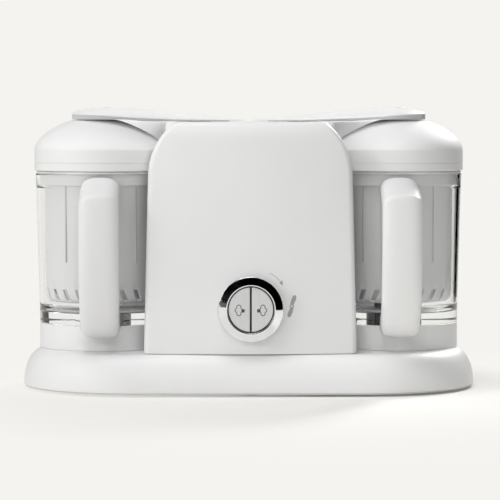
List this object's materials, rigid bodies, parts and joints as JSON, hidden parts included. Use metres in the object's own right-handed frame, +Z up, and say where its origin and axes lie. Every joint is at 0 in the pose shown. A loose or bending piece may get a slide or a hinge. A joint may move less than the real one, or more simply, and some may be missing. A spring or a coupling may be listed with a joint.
{
  "type": "baby food maker",
  "caption": "Worktop baby food maker: two clear steaming bowls with baskets, lids and handles beside a central column with a dial.",
  "frame": {"origin": "on the table, under the middle of the machine's bounding box", "axes": "+X to the right of someone facing the dial, +Y towards the back, +Z up"},
  "size_m": [0.4, 0.196, 0.2477],
  "materials": {
    "white_shell": "satin gloss",
    "dark_plastic": "fine matte",
    "black_rubber": "matte",
    "zinc_steel": "zinc plated",
    "boiler_steel": "brushed",
    "cast_aluminium": "as cast",
    "red_silicone": "smooth",
    "pale_silicone": "smooth, translucent",
    "grey_plastic": "satin",
    "clear_bowl": "clear, polished",
    "frosted_basket": "translucent satin",
    "rotor_copper": "lacquered copper windings",
    "chrome_ring": "polished",
    "satin_metal": "satin, metallised",
    "green_board": "solder mask"
  },
  "bodies": {
    "housing": {"base_cover": "white_shell", "base_plate": "dark_plastic", "rubber_feet": "black_rubber", "base_screws": "zinc_steel", "left_bowl_seat": "white_shell", "right_bowl_seat": "white_shell", "front_panel": "white_shell", "column_shell": "white_shell", "rear_cover": "white_shell", "left_steam_tower": "white_shell", "right_steam_tower": "white_shell", "left_boiler": "boiler_steel", "right_boiler": "boiler_steel", "left_heater": "cast_aluminium", "right_heater": "cast_aluminium", "thermostats": "dark_plastic", "neck_gaskets": "red_silicone", "left_steam_hose": "pale_silicone", "right_steam_hose": "pale_silicone", "spindle_housing": "dark_plastic", "drive_belt": "black_rubber", "motor_can": "boiler_steel", "motor_mount": "dark_plastic", "dial_seat": "dark_plastic", "dial_spring": "zinc_steel", "left_button_spring": "zinc_steel", "right_button_spring": "zinc_steel", "control_board": "green_board", "microswitches": "dark_plastic", "cord_gland": "dark_plastic"},
    "left_arm_set": {"left_arm": "white_shell", "left_stopper": "grey_plastic", "left_stopper_seal": "red_silicone"},
    "right_arm_set": {"right_arm": "white_shell", "right_stopper": "grey_plastic", "right_stopper_seal": "red_silicone"},
    "left_bowl_set": {"left_bowl": "clear_bowl", "left_basket": "frosted_basket", "left_collar": "white_shell", "left_handle": "white_shell", "left_floor_plug": "grey_plastic"},
    "right_bowl_set": {"right_bowl": "clear_bowl", "right_basket": "frosted_basket", "right_collar": "white_shell", "right_handle": "white_shell", "blade_bearing": "dark_plastic"},
    "left_lid_set": {"left_lid": "white_shell", "left_lid_seal": "pale_silicone"},
    "right_lid_set": {"right_lid": "white_shell", "right_lid_seal": "pale_silicone"},
    "dial": {"dial_ring": "chrome_ring"},
    "left_button": {"left_steam_button": "satin_metal"},
    "right_button": {"right_steam_button": "satin_metal"},
    "motor": {"motor_rotor": "rotor_copper", "motor_pulley": "boiler_steel"},
    "blade_drive": {"drive_spindle": "boiler_steel", "drive_pulley": "dark_plastic", "blade_coupling": "dark_plastic", "blade_unit": "boiler_steel"}
  },
  "joints": [
    {"name": "left_arm_swing", "type": "hinge", "parent": "housing", "child": "left_arm_set", "pos_m": [-0.044, 0.006, 0.2268], "axis": [0, 0, -1], "range_deg": [0, 90]},
    {"name": "right_arm_swing", "type": "hinge", "parent": "housing", "child": "right_arm_set", "pos_m": [0.044, 0.006, 0.2268], "axis": [0, 0, 1], "range_deg": [0, 90]},
    {"name": "left_bowl_turn", "type": "hinge", "parent": "housing", "child": "left_bowl_set", "pos_m": [-0.13, 0.006, 0.0382], "axis": [0, 0, -1], "range_deg": [0, 25]},
    {"name": "right_bowl_turn", "type": "hinge", "parent": "housing", "child": "right_bowl_set", "pos_m": [0.13, 0.006, 0.0382], "axis": [0, 0, 1], "range_deg": [0, 25]},
    {"name": "left_lid_turn", "type": "hinge", "parent": "left_bowl_set", "child": "left_lid_set", "pos_m": [-0.13, 0.006, 0.1915], "axis": [0, 0, -1], "range_deg": [0, 20]},
    {"name": "right_lid_turn", "type": "hinge", "parent": "right_bowl_set", "child": "right_lid_set", "pos_m": [0.13, 0.006, 0.1915], "axis": [0, 0, 1], "range_deg": [0, 20]},
    {"name": "dial_turn", "type": "hinge", "parent": "housing", "child": "dial", "pos_m": [0, -0.09, 0.0748], "axis": [0, 1, 0], "range_deg": [0, 40], "stiffness_Nm_per_rad": 0.05, "springref_deg": -11.46, "deforming": ["dial_spring"]},
    {"name": "left_steam_press", "type": "slide", "parent": "housing", "child": "left_button", "axis": [0, 1, 0], "range_m": [0, 0.0015], "stiffness_N_per_m": 400, "springref_m": -0.001, "deforming": ["left_button_spring"]},
    {"name": "right_steam_press", "type": "slide", "parent": "housing", "child": "right_button", "axis": [0, 1, 0], "range_m": [0, 0.0015], "stiffness_N_per_m": 400, "springref_m": -0.001, "deforming": ["right_button_spring"]},
    {"name": "motor_spin", "type": "hinge", "parent": "housing", "child": "motor", "pos_m": [0.025, 0.006, 0.06], "axis": [0, 0, 1], "continuous": true},
    {"name": "blade_spin", "type": "hinge", "parent": "housing", "child": "blade_drive", "pos_m": [0.13, 0.006, 0.035], "axis": [0, 0, 1], "continuous": true}
  ],
  "couplings": [
    {"joint": "blade_spin", "follows": "motor_spin", "ratio": 0.3}
  ]
}
